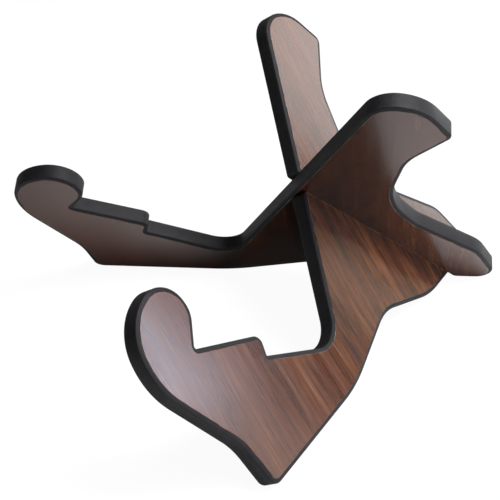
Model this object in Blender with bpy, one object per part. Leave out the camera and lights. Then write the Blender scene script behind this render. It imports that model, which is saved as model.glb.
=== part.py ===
"""Knock-down guitar stand: two matching flat boards that cross at a right angle.

Each board is one swooping outline with a curled front arm, a stepped seat, a
tall backrest horn and a rear leg. The boards lean outwards and slide into
each other with half-lap slots that run along the line where they cross.
A board is a black-edged core with a thin decorative veneer on each face, and
the edges of the sandwich are bevelled after the veneer is on.

Board drawing, in millimetres: run is measured rearwards along the floor and
rise squarely away from the floor edge, in the plane of the board. A board's
own axes are X along run, Y along rise and Z across its thickness, with its
origin where the slot line leaves the backrest. World: +Z up, front -Y, metres.
"""

import math

import bmesh
import bpy
from mathutils import Matrix, Vector

MM = 0.001

# The board sandwich.
BOARD_THICK = 14.0
VENEER_THICK = 1.0
GLUE_LINE = 0.3
PAINTED_RIM = 3.0  # how far the black edge stands outside the bare veneer
BEVEL = 1.2  # the outer part of that rim, bevelled at 45 degrees

# How the two boards meet.
CROSSING_ANGLE = math.radians(90.0)
SLOT_TO_FLOOR_ANGLE = math.radians(50.0)
SLOT_TOP = Vector((104.0, 147.0))  # run, rise where the slot line leaves the backrest
SLOT_MIDDLE = 96.0  # below SLOT_TOP along the slot line
SLOT_REACH = 240.0
SLOT_SIDE_GAP = 0.3
SLOT_END_GAP = 0.3
MOUTH_RADIUS = 3.5
MOUTH_FLARE = math.radians(3.0)

# Corners of the bare veneer inside the rim: run, rise and the radius that rounds each.
FACE_CORNERS = [
    (-88.5, 0.0, 6.0),  # front foot
    (-94.0, 37.5, 60.0),  # shin
    (-133.5, 109.0, 60.0),  # outside of the curl
    (-126.5, 152.5, 36.0),
    (-79.5, 165.5, 20.5),  # tip of the curl
    (-76.5, 133.5, 16.0),
    (-93.5, 110.0, 5.0),  # hollow behind the curl
    (-31.0, 83.0, 5.0),  # end of the upper seat
    (-35.5, 68.0, 4.2),  # start of the lower seat
    (42.0, 28.5, 25.0),  # bend into the backrest
    (165.0, 271.5, 20.0),  # top of the horn
    (195.5, 266.0, 35.0),
    (215.5, 234.0, 4.0),  # rear point of the horn
    (184.5, 199.5, 49.0),  # hollow back
    (171.0, 136.0, 74.0),
    (197.0, 95.5, 46.0),
    (252.5, 46.5, 36.0),  # calf
    (272.5, 0.0, 12.0),  # rear foot
    (182.0, 0.0, 82.0),  # floor arch
    (114.5, 23.5, 47.0),
    (36.0, 0.0, 128.0),
]
BACKREST = 9  # the straight edge that starts at this corner
REAR_SOLE = 17
SAGITTA = 0.03  # how far a chord may stray from its arc

EDGE_PAINT = ("black_edge_paint", (0.020, 0.020, 0.022), 0.45)
VENEER_LACQUER = ("rosewood_veneer", (0.130, 0.055, 0.030), 0.28)


def clear_scene():
    for obj in list(bpy.data.objects):
        bpy.data.objects.remove(obj, do_unlink=True)


def new_collection(name, hidden=False):
    group = bpy.data.collections.new(name)
    group.hide_render = hidden
    bpy.context.scene.collection.children.link(group)
    return group


def new_material(name, colour, roughness):
    material = bpy.data.materials.new(name)
    material.use_nodes = True
    shader = material.node_tree.nodes["Principled BSDF"]
    shader.inputs["Base Color"].default_value = (*colour, 1.0)
    shader.inputs["Roughness"].default_value = roughness
    shader.inputs["Metallic"].default_value = 0.0
    return material


def arc_points(start, centre, sweep, steps):
    arm = start - centre
    return [
        centre + Matrix.Rotation(sweep * step / steps, 2) @ arm
        for step in range(steps + 1)
    ]


def rounded_outline(corners, outset=0.0):
    """Points of a closed clockwise outline with rounded corners, moved outwards by outset."""
    base = [Vector((run, rise)) for run, rise, _ in corners]
    count = len(base)
    edges = [(base[(i + 1) % count] - base[i]).normalized() for i in range(count)]
    points = []
    for i in range(count):
        before, after = edges[i - 1], edges[i]
        left_before = Vector((-before.y, before.x))
        left_after = Vector((-after.y, after.x))
        corner = base[i] + (left_before + left_after) * (
            outset / (1.0 + left_before.dot(left_after))
        )
        sweep = math.atan2(before.cross(after), before.dot(after))
        radius = corners[i][2]
        steps = max(3, math.ceil(abs(sweep) / (2.0 * math.acos(1.0 - SAGITTA / radius))))
        side = 1.0 if sweep > 0.0 else -1.0
        radius -= side * outset
        start = corner - before * (radius * math.tan(abs(sweep) / 2.0))
        points += arc_points(start, start + left_before * (side * radius), sweep, steps)
    return points


def flat_blank(name, points, half_thick, bevel=0.0):
    """A mesh from a closed flat outline, with both its rims bevelled outwards."""
    curve = bpy.data.curves.new(name, "CURVE")
    curve.dimensions = "2D"
    curve.fill_mode = "BOTH"
    curve.extrude = (half_thick - bevel) * MM
    curve.bevel_depth = bevel * MM
    curve.bevel_resolution = 0
    spline = curve.splines.new("POLY")
    spline.points.add(len(points) - 1)
    for knot, point in zip(spline.points, points):
        knot.co = (point.x * MM, point.y * MM, 0.0, 1.0)
    spline.use_cyclic_u = True

    drawing = bpy.data.objects.new(name + "_drawing", curve)
    bpy.context.scene.collection.objects.link(drawing)
    bpy.context.view_layer.update()
    graph = bpy.context.evaluated_depsgraph_get()
    mesh = bpy.data.meshes.new_from_object(drawing.evaluated_get(graph))
    mesh.name = name
    bpy.data.objects.remove(drawing, do_unlink=True)

    build = bmesh.new()
    build.from_mesh(mesh)
    bmesh.ops.remove_doubles(build, verts=build.verts, dist=0.00001)
    bmesh.ops.recalc_face_normals(build, faces=build.faces)
    build.to_mesh(mesh)
    build.free()
    return mesh


def add_helper(name, mesh, parent, group):
    helper = bpy.data.objects.new(name, mesh)
    helper.hide_render = True
    helper.display_type = "WIRE"
    helper.parent = parent
    group.objects.link(helper)
    return helper


def slot_directions():
    """Directions on the drawing: up the slot, and squarely rearwards of it."""
    up = Vector((-math.cos(SLOT_TO_FLOOR_ANGLE), math.sin(SLOT_TO_FLOOR_ANGLE)))
    rear = Vector((math.sin(SLOT_TO_FLOOR_ANGLE), math.cos(SLOT_TO_FLOOR_ANGLE)))
    return up, rear


def slot_mouth(edge):
    """The finished edge that a slot opens through, as height and slope across the slot."""
    up, rear = slot_directions()
    first = Vector(FACE_CORNERS[edge][:2])
    last = Vector(FACE_CORNERS[(edge + 1) % len(FACE_CORNERS)][:2])
    along = (last - first).normalized()
    first = first + Vector((-along.y, along.x)) * PAINTED_RIM - SLOT_TOP
    slope = along.dot(up) / along.dot(rear)
    return first.dot(up) - slope * first.dot(rear), slope


def slot_outline(edge, opens_up):
    """Outline of the slot's waste, with rounded lips where it leaves the board."""
    height, slope = slot_mouth(edge)
    half = BOARD_THICK / 2.0 + SLOT_SIDE_GAP
    way = 1.0 if opens_up else -1.0
    end = -SLOT_MIDDLE - way * SLOT_END_GAP / 2.0
    far = way * SLOT_REACH - SLOT_MIDDLE
    lips = []
    for side in (-1.0, 1.0):
        lip = Vector((side * half, height + slope * side * half))
        turn = math.atan(slope) + way * side * MOUTH_FLARE
        lips.append((lip, lip + Vector((math.cos(turn), math.sin(turn))) * side * 30.0))
    (left, left_out), (right, right_out) = lips
    corners = [
        (Vector((-half, end)), 0.0),
        (left, MOUTH_RADIUS),
        (left_out, 0.0),
        (Vector((-half - 30.0, far)), 0.0),
        (Vector((half + 30.0, far)), 0.0),
        (right_out, 0.0),
        (right, MOUTH_RADIUS),
        (Vector((half, end)), 0.0),
    ]
    points = []
    for i, (corner, radius) in enumerate(corners):
        if radius == 0.0:
            points.append(corner)
            continue
        into = (corners[i - 1][0] - corner).normalized()
        away = (corners[i + 1][0] - corner).normalized()
        opening = into.angle(away)
        start = corner + into * (radius / math.tan(opening / 2.0))
        centre = corner + (into + away).normalized() * (radius / math.sin(opening / 2.0))
        turn = math.copysign(math.pi - opening, away.cross(into))
        points += arc_points(start, centre, turn, 8)
    up, rear = slot_directions()
    return [rear * point.x + up * point.y for point in points]


def board_turn(side):
    """Rotation that stands a board up; side is -1 for left and +1 for right."""
    half = CROSSING_ANGLE / 2.0
    tip = math.pi / 2.0 - SLOT_TO_FLOOR_ANGLE
    lean = math.atan(math.tan(tip) / math.cos(half))
    slot_up = Vector((0.0, -math.sin(lean), math.cos(lean)))
    rearwards = Vector((0.0, math.cos(lean), math.sin(lean)))
    square = rearwards * math.cos(half) - Vector((side * math.sin(half), 0.0, 0.0))
    run = square * math.cos(tip) - slot_up * math.sin(tip)
    rise = square * math.sin(tip) + slot_up * math.cos(tip)
    return Matrix((run, rise, run.cross(rise))).transposed()


def slot_top_place():
    """Where the slot top stands, in mm, with the floor at Z 0 and the stand's box centred."""
    shoulder = BOARD_THICK / 2.0 - BEVEL
    spots = []
    for side in (-1, 1):
        turn = board_turn(side)
        for point in rounded_outline(FACE_CORNERS, PAINTED_RIM):
            flat = point - SLOT_TOP
            spots += [turn @ Vector((*flat, level)) for level in (-shoulder, shoulder)]
    depths = [spot.y for spot in spots]
    floor = min(spot.z for spot in spots)
    return Vector((0.0, -(min(depths) + max(depths)) / 2.0, -floor))


def add_slab(name, low, high, parent, group):
    """A helper box that keeps the stretch of a board's thickness from low to high."""
    bpy.ops.mesh.primitive_cube_add(size=1.0)
    cube = bpy.context.active_object
    mesh = cube.data
    bpy.data.objects.remove(cube, do_unlink=True)
    mesh.transform(Matrix.Diagonal((1.0, 1.0, (high - low) * MM, 1.0)))
    mesh.transform(Matrix.Translation((0.0, 0.0, (low + high) / 2.0 * MM)))
    return add_helper(name, mesh, parent, group)


def add_layer(name, blank, slab, slot, material, parent, group):
    """One layer of a board: the slotted blank, kept only inside its slab."""
    layer = bpy.data.objects.new(name, blank.copy())
    layer.data.materials.append(material)
    layer.parent = parent
    group.objects.link(layer)
    for label, operation, helper in (
        ("slot", "DIFFERENCE", slot),
        ("layer", "INTERSECT", slab),
    ):
        cut = layer.modifiers.new(label, "BOOLEAN")
        cut.operation = operation
        cut.solver = "EXACT"
        cut.object = helper
    return layer


def add_board(name, side, place, edge, opens_up, blank, materials, group, helpers):
    board = bpy.data.objects.new(name + "_board", None)
    board.empty_display_size = 0.05
    board.matrix_world = Matrix.Translation(place * MM) @ board_turn(side).to_4x4()
    group.objects.link(board)

    waste = flat_blank(name + "_slot", slot_outline(edge, opens_up), BOARD_THICK)
    slot = add_helper(name + "_slot_cutter", waste, board, helpers)

    face = BOARD_THICK / 2.0
    glue = face - VENEER_THICK
    core = glue - GLUE_LINE
    paint, lacquer = materials
    layers = [
        ("core", -core, core, paint),
        # The face that looks up and outwards is on the +Z side of the right board.
        ("top_veneer", *sorted((side * glue, side * (face + 1.0))), lacquer),
        ("under_veneer", *sorted((-side * glue, -side * (face + 1.0))), lacquer),
    ]
    for label, low, high, material in layers:
        slab = add_slab(f"{name}_{label}_slab", low, high, board, helpers)
        add_layer(f"{name}_{label}", blank, slab, slot, material, board, group)


def main():
    clear_scene()
    stand = new_collection("guitar_stand")
    helpers = new_collection("cutters", hidden=True)
    materials = (new_material(*EDGE_PAINT), new_material(*VENEER_LACQUER))
    flat = rounded_outline(FACE_CORNERS, PAINTED_RIM - BEVEL)
    outline = [point - SLOT_TOP for point in flat]
    blank = flat_blank("board_blank", outline, BOARD_THICK / 2.0, BEVEL)
    place = slot_top_place()
    add_board("right", 1, place, BACKREST, True, blank, materials, stand, helpers)
    add_board("left", -1, place, REAR_SOLE, False, blank, materials, stand, helpers)
    bpy.context.view_layer.update()
    print("slot top at", [round(value, 3) for value in place], "mm")


main()
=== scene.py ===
"""Looks of the knock-down guitar stand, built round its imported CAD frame.

Each board becomes three finely made pieces: a black painted core with
softened bevels, and two rosewood veneers let into it. They repeat the board
drawing of the CAD model, in millimetres: run goes rearwards along the floor,
rise squarely away from the floor edge and across through the thickness.
"""

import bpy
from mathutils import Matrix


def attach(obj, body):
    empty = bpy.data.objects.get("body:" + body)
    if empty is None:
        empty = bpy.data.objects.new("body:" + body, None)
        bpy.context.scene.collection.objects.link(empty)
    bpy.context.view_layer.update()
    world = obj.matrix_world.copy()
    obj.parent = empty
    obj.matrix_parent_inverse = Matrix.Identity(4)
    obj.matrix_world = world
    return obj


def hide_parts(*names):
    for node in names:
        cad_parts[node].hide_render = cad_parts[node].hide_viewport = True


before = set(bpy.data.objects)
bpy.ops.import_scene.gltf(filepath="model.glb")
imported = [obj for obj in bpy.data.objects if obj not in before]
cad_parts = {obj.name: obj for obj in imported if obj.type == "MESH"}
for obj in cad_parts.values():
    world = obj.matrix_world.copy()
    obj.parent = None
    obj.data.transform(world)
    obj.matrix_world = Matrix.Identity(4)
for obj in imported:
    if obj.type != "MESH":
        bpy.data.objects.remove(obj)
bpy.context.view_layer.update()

import math

import bmesh
import bpy
import numpy as np
from mathutils import Matrix, Vector

MM = 0.001

# ---------------------------------------------------------------- the drawing

BOARD_THICK = 14.0
VENEER_THICK = 1.0
PAINTED_RIM = 3.0  # how far the black edge stands outside the bare veneer
BEVEL = 1.2
PAINT_LAP = 0.3  # how far the paint laps back over the veneer
CROSSING_ANGLE = math.radians(90.0)
SLOT_TO_FLOOR_ANGLE = math.radians(50.0)
SLOT_TOP = np.array((104.0, 147.0))
SLOT_MIDDLE = 96.0  # how far below the slot top the two slots meet
SLOT_REACH = 240.0
SLOT_SIDE_GAP = 0.06
SLOT_END_GAP = 0.3
MOUTH_RADIUS = 3.5
MOUTH_FLARE = math.radians(3.0)
MOUTH_MARGIN = 30.0  # how far the slot's waste runs on outside the board
MOUTH_STEPS = 16

# Directions on the drawing: up the slot, and squarely rearwards of it.
SLOT_UP = np.array((-math.cos(SLOT_TO_FLOOR_ANGLE), math.sin(SLOT_TO_FLOOR_ANGLE)))
SLOT_REAR = np.array((math.sin(SLOT_TO_FLOOR_ANGLE), math.cos(SLOT_TO_FLOOR_ANGLE)))

# Corners of the bare veneer inside the rim: run, rise and the radius that rounds each.
FACE_CORNERS = [
    (-88.5, 0.0, 6.0),  # front foot
    (-94.0, 37.5, 60.0),  # shin
    (-133.5, 109.0, 60.0),  # outside of the curl
    (-126.5, 152.5, 36.0),
    (-79.5, 165.5, 20.5),  # tip of the curl
    (-76.5, 133.5, 16.0),
    (-93.5, 110.0, 5.0),  # hollow behind the curl
    (-31.0, 83.0, 5.0),  # end of the upper seat
    (-35.5, 68.0, 4.2),  # start of the lower seat
    (42.0, 28.5, 25.0),  # bend into the backrest
    (165.0, 271.5, 20.0),  # top of the horn
    (195.5, 266.0, 35.0),
    (215.5, 234.0, 4.0),  # rear point of the horn
    (184.5, 199.5, 49.0),  # hollow back
    (171.0, 136.0, 74.0),
    (197.0, 95.5, 46.0),
    (252.5, 46.5, 36.0),  # calf
    (272.5, 0.0, 12.0),  # rear foot
    (182.0, 0.0, 82.0),  # floor arch
    (114.5, 23.5, 47.0),
    (36.0, 0.0, 128.0),
]
BACKREST = 9  # the edge that starts at this corner
REAR_SOLE = 17
ARC_SAGITTA = 0.004  # the most that an arc's chords stray from it
STRAIGHT_STEP = 2.5


def drawn_outline():
    """Points of the veneered face's outline, clockwise, with their outward normals."""
    base = [np.array(corner[:2]) for corner in FACE_CORNERS]
    count = len(base)
    ways = [base[(i + 1) % count] - base[i] for i in range(count)]
    ways = [way / np.linalg.norm(way) for way in ways]
    points, normals = [], []
    for i in range(count):
        before, after = ways[i - 1], ways[i]
        sweep = math.atan2(
            before[0] * after[1] - before[1] * after[0], float(before @ after)
        )
        radius = FACE_CORNERS[i][2]
        chord = 2.0 * math.acos(1.0 - ARC_SAGITTA / radius)
        steps = max(4, math.ceil(abs(sweep) / chord))
        side = 1.0 if sweep > 0.0 else -1.0
        start = base[i] - before * (radius * math.tan(abs(sweep) / 2.0))
        if points:
            gap = start - points[-1]
            parts = max(1, math.ceil(np.linalg.norm(gap) / STRAIGHT_STEP))
            for _ in range(1, parts):
                points.append(points[-1] + gap / parts)
                normals.append(np.array((-before[1], before[0])))
        left = np.array((-before[1], before[0]))
        centre = start + left * (side * radius)
        for step in range(steps + 1):
            angle = sweep * step / steps
            cos, sin = math.cos(angle), math.sin(angle)
            normal = np.array((cos * left[0] - sin * left[1], sin * left[0] + cos * left[1]))
            points.append(centre - normal * (side * radius))
            normals.append(normal)
    gap = points[0] - points[-1]
    parts = max(1, math.ceil(np.linalg.norm(gap) / STRAIGHT_STEP))
    for _ in range(1, parts):
        points.append(points[-1] + gap / parts)
        normals.append(normals[-1])
    return np.array(points), np.array(normals)


OUTLINE, OUTWARD = drawn_outline()


def paint_line(seed):
    """Where the hand-laid paint stops on the veneer, as an outset in mm round the outline."""
    steps = np.linalg.norm(np.roll(OUTLINE, -1, 0) - OUTLINE, axis=1)
    along = np.cumsum(steps) / steps.sum() * 2.0 * math.pi
    # Each wave goes so many times round the outline, and is so many mm high.
    waves = ((31, 0.07), (53, 0.06), (87, 0.045), (141, 0.03))
    return -PAINT_LAP + sum(
        height * np.sin(turns * along + seed * (k + 1.7))
        for k, (turns, height) in enumerate(waves)
    )


def slot_outline(edge, opens_up):
    """Outline of the slot's waste, from the slot top, with rounded lips at its mouth."""
    first = np.array(FACE_CORNERS[edge][:2])
    last = np.array(FACE_CORNERS[(edge + 1) % len(FACE_CORNERS)][:2])
    along = (last - first) / np.linalg.norm(last - first)
    first = first + np.array((-along[1], along[0])) * PAINTED_RIM - SLOT_TOP
    slope = (along @ SLOT_UP) / (along @ SLOT_REAR)
    height = first @ SLOT_UP - slope * (first @ SLOT_REAR)

    half = BOARD_THICK / 2.0 + SLOT_SIDE_GAP
    way = 1.0 if opens_up else -1.0
    end = -SLOT_MIDDLE - way * SLOT_END_GAP / 2.0
    far = way * SLOT_REACH - SLOT_MIDDLE
    lips = []
    for side in (-1.0, 1.0):
        lip = Vector((side * half, height + slope * side * half))
        turn = math.atan(slope) + way * side * MOUTH_FLARE
        lips.append((lip, lip + Vector((math.cos(turn), math.sin(turn))) * side * MOUTH_MARGIN))
    (left, left_out), (right, right_out) = lips
    corners = [
        (Vector((-half, end)), 0.0),
        (left, MOUTH_RADIUS),
        (left_out, 0.0),
        (Vector((-half - MOUTH_MARGIN, far)), 0.0),
        (Vector((half + MOUTH_MARGIN, far)), 0.0),
        (right_out, 0.0),
        (right, MOUTH_RADIUS),
        (Vector((half, end)), 0.0),
    ]
    points = []
    for i, (corner, radius) in enumerate(corners):
        if radius == 0.0:
            points.append(corner)
            continue
        into = (corners[i - 1][0] - corner).normalized()
        away = (corners[i + 1][0] - corner).normalized()
        opening = into.angle(away)
        start = corner + into * (radius / math.tan(opening / 2.0))
        centre = corner + (into + away).normalized() * (radius / math.sin(opening / 2.0))
        turn = math.copysign(math.pi - opening, away.cross(into))
        for step in range(MOUTH_STEPS + 1):
            swing = Matrix.Rotation(turn * step / MOUTH_STEPS, 2)
            points.append(centre + swing @ (start - centre))
    return np.array([SLOT_REAR * point.x + SLOT_UP * point.y for point in points])


def board_turn(side):
    """Rotation that stands a board up; side is -1 for left and +1 for right."""
    half = CROSSING_ANGLE / 2.0
    tip = math.pi / 2.0 - SLOT_TO_FLOOR_ANGLE
    lean = math.atan(math.tan(tip) / math.cos(half))
    slot_up = Vector((0.0, -math.sin(lean), math.cos(lean)))
    rearwards = Vector((0.0, math.cos(lean), math.sin(lean)))
    square = rearwards * math.cos(half) - Vector((side * math.sin(half), 0.0, 0.0))
    run = square * math.cos(tip) - slot_up * math.sin(tip)
    rise = square * math.sin(tip) + slot_up * math.cos(tip)
    return np.array(Matrix((run, rise, run.cross(rise))).transposed())


def slot_top_place():
    """Where the slot top stands, in mm, for a box that rests on the floor, centred."""
    shoulder = BOARD_THICK / 2.0 - BEVEL
    flat = OUTLINE + OUTWARD * PAINTED_RIM - SLOT_TOP
    spots = np.vstack([
        np.column_stack([flat, np.full(len(flat), level)]) @ board_turn(side).T
        for side in (-1, 1)
        for level in (-shoulder, shoulder)
    ])
    low, high = spots.min(0), spots.max(0)
    return np.array((0.0, -(low[1] + high[1]) / 2.0, -low[2]))


# ------------------------------------------------------------------ the meshes

BED_GAP = 0.04  # between the veneer and its bed
LIP_GAP = 0.03  # between the veneer's edge and the lip
ARRIS_STEPS = 6
EASED_EDGE = 0.3
EASED_STEPS = 4
CREASE = math.radians(32.0)


def lofted(name, rings, centre):
    """A closed mesh in board millimetres through rings of (outset, level), from the top down."""
    build = bmesh.new()
    loops = []
    for outset, level in rings:
        spots = OUTLINE + OUTWARD * np.broadcast_to(outset, len(OUTLINE))[:, None] - centre
        loops.append([build.verts.new((x, y, level)) for x, y in spots])
    count = len(OUTLINE)
    for upper, lower in zip(loops, loops[1:]):
        for i in range(count):
            j = (i + 1) % count
            build.faces.new((upper[i], upper[j], lower[j], lower[i]))
    build.faces.new(loops[0][::-1])
    build.faces.new(loops[-1])
    bmesh.ops.recalc_face_normals(build, faces=build.faces)
    mesh = bpy.data.meshes.new(name)
    build.to_mesh(mesh)
    build.free()
    return mesh


def prism(name, points, half_height):
    """A closed upright prism in board millimetres."""
    build = bmesh.new()
    lower = [build.verts.new((x, y, -half_height)) for x, y in points]
    upper = [build.verts.new((x, y, half_height)) for x, y in points]
    for i in range(len(points)):
        j = (i + 1) % len(points)
        build.faces.new((lower[i], lower[j], upper[j], upper[i]))
    build.faces.new(lower[::-1])
    build.faces.new(upper)
    bmesh.ops.recalc_face_normals(build, faces=build.faces)
    mesh = bpy.data.meshes.new(name)
    build.to_mesh(mesh)
    build.free()
    return mesh


def core_rings(lip):
    """Core section: a bed for the veneer, a low lip, a shallow painted bevel and its arris."""
    face = BOARD_THICK / 2.0
    bed = face - VENEER_THICK - BED_GAP
    inner = lip + LIP_GAP
    rings = [(inner, bed), (inner, face - 0.22), (inner + 0.1, face - 0.13)]
    start = np.array((0.35, face - 0.20))
    arris = np.array((PAINTED_RIM - 0.12, face - 0.98))
    foot = np.array((PAINTED_RIM, face - 1.9))
    rings.append(tuple(start))
    rings.append(tuple(start * 0.5 + arris * 0.5))
    # A curve rounds the arris, from a fifth of the bevel back down to the edge.
    first = arris + (start - arris) * 0.22
    for step in range(ARRIS_STEPS + 1):
        t = step / ARRIS_STEPS
        rings.append(tuple(first * (1 - t) ** 2 + arris * (2 * t * (1 - t)) + foot * t**2))
    return rings + [(outset, -level) for outset, level in reversed(rings)]


def veneer_rings(lip, way):
    """Veneer section: square below, with a small rounded edge at the face."""
    face = BOARD_THICK / 2.0
    rings = []
    for step in range(EASED_STEPS + 1):
        angle = math.radians(90.0 * (1.0 - step / EASED_STEPS))
        inset = EASED_EDGE * (1 - math.cos(angle))
        rings.append((lip - inset, face - EASED_EDGE * (1 - math.sin(angle))))
    rings.append((lip, face - VENEER_THICK))
    if way < 0:
        rings = [(outset, -level) for outset, level in reversed(rings)]
    return rings


def finished(name, blank, cutter, place, turn, materials, face_rule):
    """Cuts the slot out of a blank and returns the standing piece with board coordinates.

    The face rule gives the number of the material that a face takes.
    """
    raw = bpy.data.objects.new(name, blank)
    bpy.context.scene.collection.objects.link(raw)
    cut = raw.modifiers.new("slot", "BOOLEAN")
    cut.operation = "DIFFERENCE"
    cut.solver = "EXACT"
    cut.object = cutter
    bpy.context.view_layer.update()
    graph = bpy.context.evaluated_depsgraph_get()
    mesh = bpy.data.meshes.new_from_object(raw.evaluated_get(graph), depsgraph=graph)
    raw.modifiers.clear()
    raw.data = mesh
    mesh.name = name

    spots = np.empty(len(mesh.vertices) * 3, np.float32)
    mesh.vertices.foreach_get("co", spots)
    spots = spots.reshape(-1, 3).astype(float)
    board = spots + np.array((*SLOT_TOP, 0.0))
    mesh.attributes.new("board", "FLOAT_VECTOR", "POINT").data.foreach_set(
        "vector", board.astype(np.float32).ravel()
    )

    # Flat faces meet every other face at a crease; the eased edges stay smooth.
    mesh.materials.clear()
    for material in materials:
        mesh.materials.append(material)
    build = bmesh.new()
    build.from_mesh(mesh)
    for face in build.faces:
        face.smooth = True
        face.material_index = face_rule(face)
    for edge in build.edges:
        faces = edge.link_faces
        flat = [abs(face.normal.z) > 0.9999 for face in faces]
        edge.smooth = (
            len(faces) == 2
            and flat[0] == flat[1]
            and faces[0].normal.angle(faces[1].normal, 0.0) < CREASE
        )
    build.to_mesh(mesh)
    build.free()

    standing = (spots @ turn.T + place) * MM
    mesh.vertices.foreach_set("co", standing.astype(np.float32).ravel())
    mesh.update()
    return raw


# --------------------------------------------------------------- the materials

WEAR_DEPTH = 2.25  # how far below the face the edge's paint wears


class Shader:
    """A short way to write a node tree."""

    def __init__(self, name):
        self.material = bpy.data.materials.new(name)
        self.material.use_nodes = True
        self.tree = self.material.node_tree
        self.surface = self.tree.nodes["Principled BSDF"]

    def put(self, socket, value):
        """Links a socket to another's output, or sets its value."""
        if isinstance(value, bpy.types.NodeSocket):
            self.tree.links.new(value, socket)
        else:
            socket.default_value = value

    def add(self, kind, inputs, output=0, **settings):
        """Adds a node and returns one of its outputs."""
        node = self.tree.nodes.new(kind)
        for key, value in settings.items():
            setattr(node, key, value)
        for key, value in inputs.items():
            self.put(node.inputs[key], value)
        return node.outputs[output]

    def math(self, operation, *values):
        """Arithmetic on sockets and numbers."""
        return self.add("ShaderNodeMath", dict(enumerate(values)), operation=operation)

    def span(self, value, low, high, to_low=0.0, to_high=1.0):
        """Turns low..high smoothly into to_low..to_high."""
        return self.add(
            "ShaderNodeMapRange",
            {"Value": value, "From Min": low, "From Max": high, "To Min": to_low, "To Max": to_high},
            interpolation_type="SMOOTHSTEP",
        )

    def noise(self, vector, detail=2.0, roughness=0.5, scale=1.0):
        """Smooth noise round 0.5."""
        return self.add(
            "ShaderNodeTexNoise",
            {"Vector": vector, "Scale": scale, "Detail": detail, "Roughness": roughness},
        )

    def mix(self, factor, first, second, blend="MIX"):
        """Blends the second colour into the first."""
        node = self.tree.nodes.new("ShaderNodeMix")
        node.data_type = "RGBA"
        node.blend_type = blend
        colours = [socket for socket in node.inputs if socket.type == "RGBA"]
        self.put(node.inputs[0], factor)
        self.put(colours[0], first)
        self.put(colours[1], second)
        return next(socket for socket in node.outputs if socket.type == "RGBA")

    def ramp(self, value, stops):
        """Colours a value by (place, colour) stops."""
        node = self.tree.nodes.new("ShaderNodeValToRGB")
        ramp = node.color_ramp
        while len(ramp.elements) < len(stops):
            ramp.elements.new(1.0)
        for element, (place, colour) in zip(ramp.elements, stops):
            element.position = place
            element.color = (*colour, 1.0)
        self.put(node.inputs[0], value)
        return node.outputs["Color"]

    def board(self):
        """Board coordinates in mm: run, rise and across."""
        spot = self.add("ShaderNodeAttribute", {}, 1, attribute_name="board")
        parts = self.tree.nodes.new("ShaderNodeSeparateXYZ")
        self.put(parts.inputs[0], spot)
        return parts.outputs[0], parts.outputs[1], parts.outputs[2]


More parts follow.
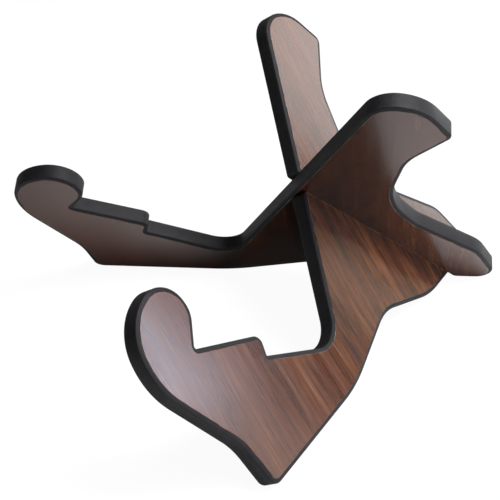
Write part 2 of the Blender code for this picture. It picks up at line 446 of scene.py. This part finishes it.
def veneer_material(name, seed, opens_up, contrast, calm, heartwood, threads, smudges):
    """Straight-grained rosewood laminate under satin lacquer; the grain follows rise.

    contrast is the figure's strength beside the slot, and calm the share of it that is
    left at the curl and the horn. heartwood darkens the middle of the sheet, and threads
    and smudges set how far the pale threads and the soft smudges show.
    """
    s = Shader(name)
    run, rise, across = s.board()

    def grain(width, length, depth, detail=2.0, roughness=0.5, source=None):
        """Noise whose grains are width by length mm; depth picks another slice of it."""
        sideways = s.math("DIVIDE", run if source is None else source, width)
        along = s.math("DIVIDE", rise, length)
        vector = s.add("ShaderNodeCombineXYZ", {0: sideways, 1: along, 2: seed + depth})
        return s.noise(vector, detail, roughness)

    # The whole figure drifts a few millimetres sideways along the board.
    drift = s.math("MULTIPLY", s.math("SUBTRACT", grain(95.0, 210.0, 0.0, 1.0), 0.5), 16.0)
    swept = s.math("ADD", run, drift)

    broad = grain(23.0, 230.0, 3.1, 2.0, 0.5, swept)
    bands = grain(6.5, 210.0, 5.7, 3.0, 0.6, swept)
    streaks = grain(2.0, 48.0, 9.3, 2.0, 0.6, swept)
    fine = grain(0.85, 24.0, 13.9, 2.0, 0.65, swept)

    tone = s.math("MULTIPLY", broad, 0.26)
    for part, share in ((bands, 0.30), (streaks, 0.28), (fine, 0.16)):
        tone = s.math("MULTIPLY_ADD", part, share, tone)
    # Soft smudges lie over the streaks. The figure is strong beside the slot, and
    # calmer towards the curl and up the horn.
    smudge = s.math("SUBTRACT", grain(4.2, 17.0, 17.3, 2.0, 0.55, swept), 0.5)
    tone = s.math("MULTIPLY_ADD", smudge, smudges, s.math("SUBTRACT", tone, 0.5))
    strength = s.math(
        "MULTIPLY", s.span(run, -80.0, 110.0, calm, 1.0), s.span(rise, 90.0, 190.0, 1.0, calm)
    )
    tone = s.math("MULTIPLY_ADD", s.math("MULTIPLY", strength, contrast), tone, 0.505)

    # The sheet is darker heartwood across the middle of the board.
    heart = s.math("MULTIPLY", s.span(run, -70.0, 50.0), s.span(run, 150.0, 200.0, 1.0, 0.0))
    tone = s.math("MULTIPLY_ADD", heart, -heartwood, tone)
    colour = s.ramp(tone, [
        (0.380, (0.0160, 0.0048, 0.0022)),
        (0.450, (0.0380, 0.0098, 0.0030)),
        (0.500, (0.0590, 0.0150, 0.0042)),
        (0.550, (0.0780, 0.0230, 0.0068)),
        (0.630, (0.1180, 0.0430, 0.0155)),
    ])

    # Dark figure lines follow the contours of a slow field and come and go along it.
    field = grain(12.0, 230.0, 21.1, 1.0, 0.5, swept)
    line = s.math("ABSOLUTE", s.math("SUBTRACT", field, 0.5))
    vein = s.span(line, 0.0, 0.030, 1.0, 0.0)
    reach = s.span(grain(24.0, 80.0, 27.0, 1.0, 0.5, swept), 0.42, 0.62, 0.0, 0.80)
    reach = s.math("MULTIPLY", reach, s.span(strength, 0.65, 1.0, 0.15, 1.0))
    colour = s.mix(s.math("MULTIPLY", vein, reach), colour, (0.0130, 0.0046, 0.0030, 1.0))

    # Pale threads, each fading out after a few centimetres.
    thread = s.span(grain(0.9, 40.0, 31.3, 1.0, 0.5, swept), 0.58, 0.76, 0.0, threads)
    paler = s.mix(1.0, colour, (1.50, 2.05, 2.40, 1.0), "MULTIPLY")
    colour = s.mix(thread, colour, paler)

    # Pores: short dark dashes along the grain.
    pore = s.span(grain(0.34, 5.0, 37.7, 0.0, 0.5, swept), 0.60, 0.70, 0.0, 1.0)
    colour = s.mix(s.math("MULTIPLY", pore, 0.22), colour, (0.0120, 0.0048, 0.0032, 1.0))

    # The sawn edge of the laminate shows as a fine pale line along the slot.
    rearwards = s.math("MULTIPLY_ADD", run, float(SLOT_REAR[0]),
                       s.math("MULTIPLY", rise, float(SLOT_REAR[1])))
    away = s.math("ABSOLUTE", s.math("SUBTRACT", rearwards, float(SLOT_REAR @ SLOT_TOP)))
    face = BOARD_THICK / 2.0
    cut = s.span(away, face + 0.25, face + 0.75, 1.0, 0.0)
    upwards = s.math("MULTIPLY_ADD", run, float(SLOT_UP[0]),
                     s.math("MULTIPLY", rise, float(SLOT_UP[1])))
    middle = float(SLOT_UP @ SLOT_TOP) - SLOT_MIDDLE
    below, above = (0.0, 1.0) if opens_up else (1.0, 0.0)
    slotted = s.span(upwards, middle - 0.4, middle + 0.4, below, above)
    cut = s.math("MULTIPLY", cut, slotted)
    chips = s.span(grain(9.0, 14.0, 43.1, 2.0, 0.6), 0.38, 0.58, 0.12, 0.60)
    colour = s.mix(s.math("MULTIPLY", cut, chips), colour, (0.260, 0.140, 0.075, 1.0))

    # A painted highlight lies along its eased outer edge too: a pale line in patches next to the
    # paint, for the light that the lacquer's edge catches.
    eased = s.span(s.math("ABSOLUTE", across), face - 0.25, face - 0.03, 1.0, 0.0)
    highlight_patches = s.span(grain(21.0, 21.0, 47.9, 2.0, 0.6), 0.46, 0.60, 0.0, 1.0)
    colour = s.mix(s.math("MULTIPLY", eased, highlight_patches), colour, (0.560, 0.450, 0.370, 1.0))

    relief = s.math("MULTIPLY_ADD", pore, -0.8, s.math("MULTIPLY_ADD", fine, 0.6, streaks))
    bump = s.add(
        "ShaderNodeBump", {"Strength": 0.16, "Distance": 0.00004, "Height": relief}
    )
    s.put(s.surface.inputs["Base Color"], colour)
    s.put(s.surface.inputs["Roughness"], s.span(bands, 0.3, 0.7, 0.17, 0.23))
    s.put(s.surface.inputs["Normal"], bump)
    s.surface.inputs["IOR"].default_value = 1.5
    return s.material


def cut_edge_material():
    """The sawn edge of the laminate where a slot passes through it."""
    s = Shader("laminate_cut_edge")
    run, rise, across = s.board()
    # The noise is drawn out along the sheet, so that it reads as thin plies.
    plies = s.noise(
        s.add("ShaderNodeCombineXYZ", {
            0: s.math("MULTIPLY", run, 0.6),
            1: s.math("MULTIPLY", rise, 0.6),
            2: s.math("MULTIPLY", across, 9.0),
        })
    )
    s.put(s.surface.inputs["Base Color"], s.ramp(plies, [
        (0.35, (0.16, 0.085, 0.05)), (0.65, (0.34, 0.21, 0.13))
    ]))
    s.put(s.surface.inputs["Roughness"], s.span(plies, 0.3, 0.7, 0.5, 0.7))
    return s.material


def paint_material(name):
    """Satin black edge paint with a fine stipple, thinned a little along each arris."""
    s = Shader(name)
    run, rise, across = s.board()
    spot = s.add("ShaderNodeCombineXYZ", {0: run, 1: rise, 2: across})
    cloud = s.noise(spot, 3.0, 0.55, 0.09)
    mottle = s.noise(spot, 3.0, 0.7, 0.80)
    stipple = s.noise(spot, 2.0, 0.65, 1.9)
    colour = s.ramp(s.math("MULTIPLY_ADD", cloud, 0.3, s.math("MULTIPLY", mottle, 0.7)), [
        (0.38, (0.0032, 0.0028, 0.0031)), (0.62, (0.0120, 0.0108, 0.0126))
    ])
    # The paint wears along a line on the edge, just inside each arris.
    level = s.math("ABSOLUTE", across)
    aside = s.math("ABSOLUTE", s.math("SUBTRACT", level, BOARD_THICK / 2.0 - WEAR_DEPTH))
    near = s.span(aside, 0.05, 0.75, 1.0, 0.0)
    worn = s.math("MULTIPLY", near, s.span(mottle, 0.42, 0.66, 0.0, 0.55))
    colour = s.mix(worn, colour, (0.032, 0.029, 0.031, 1.0))
    relief = s.math("MULTIPLY_ADD", mottle, 0.8, stipple)
    bump = s.add("ShaderNodeBump", {"Strength": 0.9, "Distance": 0.00016, "Height": relief})
    s.put(s.surface.inputs["Base Color"], colour)
    s.put(s.surface.inputs["Roughness"], s.span(mottle, 0.3, 0.7, 0.50, 0.68))
    s.put(s.surface.inputs["Normal"], bump)
    s.surface.inputs["IOR"].default_value = 1.30
    return s.material


# ------------------------------------------------------------------ the boards

RIGHT_FIGURE = {
    "contrast": 1.05, "calm": 0.62, "heartwood": 0.0, "threads": 0.95, "smudges": 0.10,
}
LEFT_FIGURE = {
    "contrast": 1.00, "calm": 0.26, "heartwood": 0.080, "threads": 0.10, "smudges": 0.12,
}


def add_board(name, side, place, edge, opens_up, paint, cut_edge, seed, figure):
    """Makes one board's core and two veneers; edge is the one that its slot opens through."""
    turn = board_turn(side)
    body = name + "_board"
    waste = bpy.data.objects.new(
        name + "_waste", prism(name + "_waste", slot_outline(edge, opens_up), BOARD_THICK)
    )
    bpy.context.scene.collection.objects.link(waste)

    lips = {1: paint_line(0.9 + side), -1: paint_line(4.3 + side)}
    upper, lower = core_rings(lips[1]), core_rings(lips[-1])
    rings = upper[: len(upper) // 2] + lower[len(lower) // 2 :]
    core = finished(
        name + "_painted_core", lofted(name + "_core_blank", rings, SLOT_TOP),
        waste, place, turn, [paint], lambda face: 0,
    )
    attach(core, body)
    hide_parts(name + "_core")

    for way, label in ((side, "top"), (-side, "under")):
        wood = veneer_material(
            f"{name}_{label}_rosewood", seed + 50.0 * (way + 1), opens_up, **figure
        )
        blank = lofted(f"{name}_{label}_blank", veneer_rings(lips[way], way), SLOT_TOP)

        def face_rule(face):
            """Gives the slot's own walls the cut edge, and leaves slivers to the veneer."""
            centre = np.array(face.calc_center_median()[:2])
            beside = abs(abs(SLOT_REAR @ centre) - BOARD_THICK / 2.0) < 0.5
            return int(beside and abs(face.normal.z) < 0.5 and face.calc_area() > 2.0)

        veneer = finished(
            f"{name}_{label}_rosewood_veneer", blank, waste, place, turn, [wood, cut_edge], face_rule
        )
        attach(veneer, body)
        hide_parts(f"{name}_{label}_veneer")
    bpy.data.objects.remove(waste, do_unlink=True)


# ------------------------------------------------------------------- the studio

FLOOR_SIZE = 12.0
DOME_RADIUS = 9.0
CAMERA_LENS = 81.2
CAMERA_PLACE = (0.6978, -0.3693, 0.5548)
CAMERA_TURN = (58.58, 1.91, 63.40)  # degrees


def flat_sheet(name, size, height, material):
    """A level square sheet centred under the stand, in metres."""
    mesh = bpy.data.meshes.new(name)
    half = size / 2.0
    mesh.from_pydata(
        [(-half, -half, height), (half, -half, height), (half, half, height), (-half, half, height)],
        [], [(0, 1, 2, 3)],
    )
    mesh.materials.append(material)
    sheet = bpy.data.objects.new(name, mesh)
    bpy.context.scene.collection.objects.link(sheet)
    return sheet


def only_for(obj, **rays):
    """Shows an object to the named kinds of ray alone."""
    for ray in ("camera", "diffuse", "glossy", "transmission", "volume_scatter", "shadow"):
        setattr(obj, "visible_" + ray, rays.get(ray, False))


def add_studio():
    """A pale floor and backdrop, and a second sheet that carries the floor's bounce light."""
    pale = Shader("pale_floor")
    pale.surface.inputs["Base Color"].default_value = (0.08, 0.08, 0.08, 1.0)
    pale.surface.inputs["Roughness"].default_value = 0.9
    pale.surface.inputs["Specular IOR Level"].default_value = 0.0
    pale.surface.inputs["Emission Color"].default_value = (1.0, 1.0, 1.0, 1.0)
    spot = pale.add("ShaderNodeNewGeometry", {}, "Position")
    reach = pale.add("ShaderNodeVectorMath", {0: spot}, "Value", operation="LENGTH")
    # The glow grows with distance, so that the floor melts into the backdrop.
    glow = pale.span(reach, 0.7, 2.6, 0.95, 1.0)
    pale.put(pale.surface.inputs["Emission Strength"], glow)
    floor = flat_sheet("floor", FLOOR_SIZE, -0.0002, pale.material)
    only_for(floor, camera=True)

    bounce = Shader("floor_bounce")
    spot = bounce.add("ShaderNodeNewGeometry", {}, "Position")
    reach = bounce.add(
        "ShaderNodeVectorMath", {0: spot, 1: (-0.02, 0.0, 0.0)}, "Value", operation="DISTANCE"
    )
    # Painted shade: the sheet is darker under the crossing, so little light comes back from there.
    shade = bounce.span(reach, 0.045, 0.12)
    bounce.put(bounce.surface.inputs["Base Color"], bounce.mix(
        shade, (0.46, 0.44, 0.42, 1.0), (0.82, 0.81, 0.80, 1.0)
    ))
    bounce.surface.inputs["Roughness"].default_value = 0.9
    under = flat_sheet("floor_bounce", FLOOR_SIZE, -0.0004, bounce.material)
    only_for(under, diffuse=True, glossy=True, transmission=True, shadow=True)

    white = Shader("backdrop_white")
    white.surface.inputs["Base Color"].default_value = (0.0, 0.0, 0.0, 1.0)
    white.surface.inputs["Specular IOR Level"].default_value = 0.0
    white.surface.inputs["Emission Color"].default_value = (1.0, 1.0, 1.0, 1.0)
    white.surface.inputs["Emission Strength"].default_value = 1.0
    build = bmesh.new()
    bmesh.ops.create_uvsphere(build, u_segments=48, v_segments=24, radius=DOME_RADIUS)
    mesh = bpy.data.meshes.new("backdrop")
    build.to_mesh(mesh)
    build.free()
    mesh.materials.append(white.material)
    dome = bpy.data.objects.new("backdrop", mesh)
    bpy.context.scene.collection.objects.link(dome)
    only_for(dome, camera=True)


# Soft light cards: name, centre, the way it faces, width, height, and even radiance. They
# make up a window with its sill and the walls beside it, a ceiling, two side walls and a
# lamp that washes the floor.
CARDS = (
    ("window_low", (0.53, 1.05, 0.335), (0, -1, 0), 0.14, 0.17, (9.2, 10.0, 12.0)),
    ("window_high", (0.525, 1.05, 0.51), (0, -1, 0), 0.15, 0.18, (10.4, 12.6, 15.4)),
    ("window_right", (0.675, 1.05, 0.425), (0, -1, 0), 0.15, 0.35, (6.5, 7.4, 8.6)),
    ("sill", (0.60, 1.05, 0.135), (0, -1, 0), 0.30, 0.23, (2.8, 2.45, 2.3)),
    ("low_gap", (0.195, 1.05, 0.135), (0, -1, 0), 0.085, 0.23, (2.5, 2.2, 1.8)),
    ("dim_gap", (0.27, 1.05, 0.425), (0, -1, 0), 0.36, 0.35, (0.9, 0.40, 0.20)),
    ("wall_low", (-0.2325, 1.05, 0.16), (0, -1, 0), 0.535, 0.28, (4.5, 5.0, 5.1)),
    ("wall_high", (-0.225, 1.05, 0.45), (0, -1, 0), 0.55, 0.30, (4.7, 4.7, 4.7)),
    ("ceiling", (0.65, 0.525, 1.50), (0, 0, -1), 1.30, 1.05, (6.0, 6.7, 6.8)),
    ("right_wall", (1.30, 0.625, 0.85), (-1, 0, 0), 0.85, 0.70, (3.3, 2.9, 3.6)),
    ("left_wall", (-1.30, -0.075, 0.56), (1, 0, 0), 2.25, 1.08, (0.20, 0.20, 0.20)),
    ("floor_wash", (0.33, 0.29, 0.90), (0, 0, -1), 0.40, 0.35, (20.0, 19.2, 19.8)),
)


def add_lights():
    """The light cards, each with its power worked out from its radiance, and a dim room."""
    for name, centre, facing, width, height, radiance in CARDS:
        lamp = bpy.data.lights.new(name, "AREA")
        lamp.shape = "RECTANGLE"
        lamp.size, lamp.size_y = width, height
        lamp.energy = math.pi * width * height * max(radiance)
        lamp.color = [part / max(radiance) for part in radiance]
        card = bpy.data.objects.new(name, lamp)
        card.location = centre
        card.rotation_euler = Vector(facing).to_track_quat("-Z", "Y").to_euler()
        card.visible_camera = False
        bpy.context.scene.collection.objects.link(card)
    world = bpy.data.worlds.new("soft_room")
    world.use_nodes = True
    background = world.node_tree.nodes["Background"]
    background.inputs["Color"].default_value = (1.0, 0.97, 0.94, 1.0)
    background.inputs["Strength"].default_value = 0.03
    bpy.context.scene.world = world


def add_camera():
    """A long lens that looks down on the stand from its front right."""
    camera = bpy.data.objects.new("camera", bpy.data.cameras.new("camera"))
    camera.data.sensor_width = 36.0
    camera.data.lens = CAMERA_LENS
    camera.data.dof.use_dof = False
    camera.location = CAMERA_PLACE
    camera.rotation_euler = [math.radians(angle) for angle in CAMERA_TURN]
    bpy.context.scene.collection.objects.link(camera)
    bpy.context.scene.camera = camera


def main():
    """Builds both boards where the CAD has them, then the studio round them."""
    place = slot_top_place()
    paint = paint_material("black_edge_paint")
    cut_edge = cut_edge_material()
    add_board("right", 1, place, BACKREST, True, paint, cut_edge, 11.0, RIGHT_FIGURE)
    add_board("left", -1, place, REAR_SOLE, False, paint, cut_edge, 23.0, LEFT_FIGURE)
    add_studio()
    add_lights()
    add_camera()
    view = bpy.context.scene.view_settings
    view.view_transform = "Standard"
    view.look = "None"
    view.exposure = 0.0
    view.gamma = 1.0


main()
